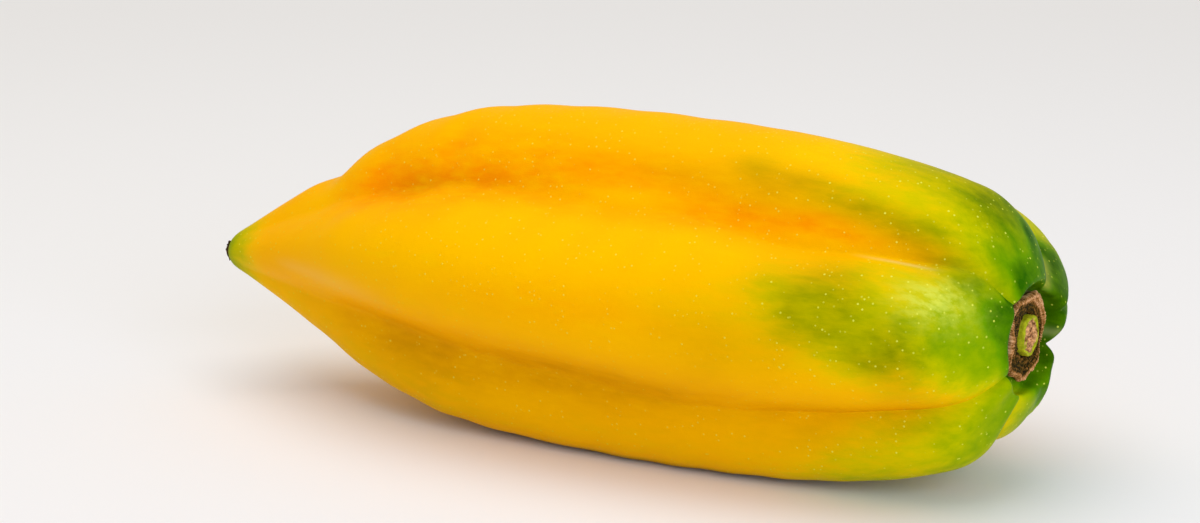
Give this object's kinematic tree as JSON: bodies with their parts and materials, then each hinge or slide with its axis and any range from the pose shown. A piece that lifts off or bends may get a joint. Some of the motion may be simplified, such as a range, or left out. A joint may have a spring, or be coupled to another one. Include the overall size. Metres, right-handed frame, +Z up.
{
  "type": "babaco fruit",
  "caption": "Long ripe fruit lying on its side, with rounded lobes and deep furrows, a pointed blossom end, and a corky scar round a green stalk stump.",
  "frame": {"origin": "centre of the bounding box in plan, on the surface that the fruit lies on", "axes": "+X along the fruit from its pointed blossom end to its stem end, +Z up, -Y the side that faces the viewer"},
  "size_m": [0.2656, 0.1073, 0.0977],
  "materials": {
    "skin": "smooth waxy skin, golden yellow, green at both ends",
    "cork": "dry rough cork, salmon brown",
    "stalk": "fresh green stalk with a brown corky core",
    "dried_blossom": "dry, dark brown, fibrous"
  },
  "bodies": {
    "root": {"fruit": "skin", "calyx_scar": "cork", "stem_stub": "stalk", "style_remnant": "dried_blossom"}
  },
  "joints": []
}
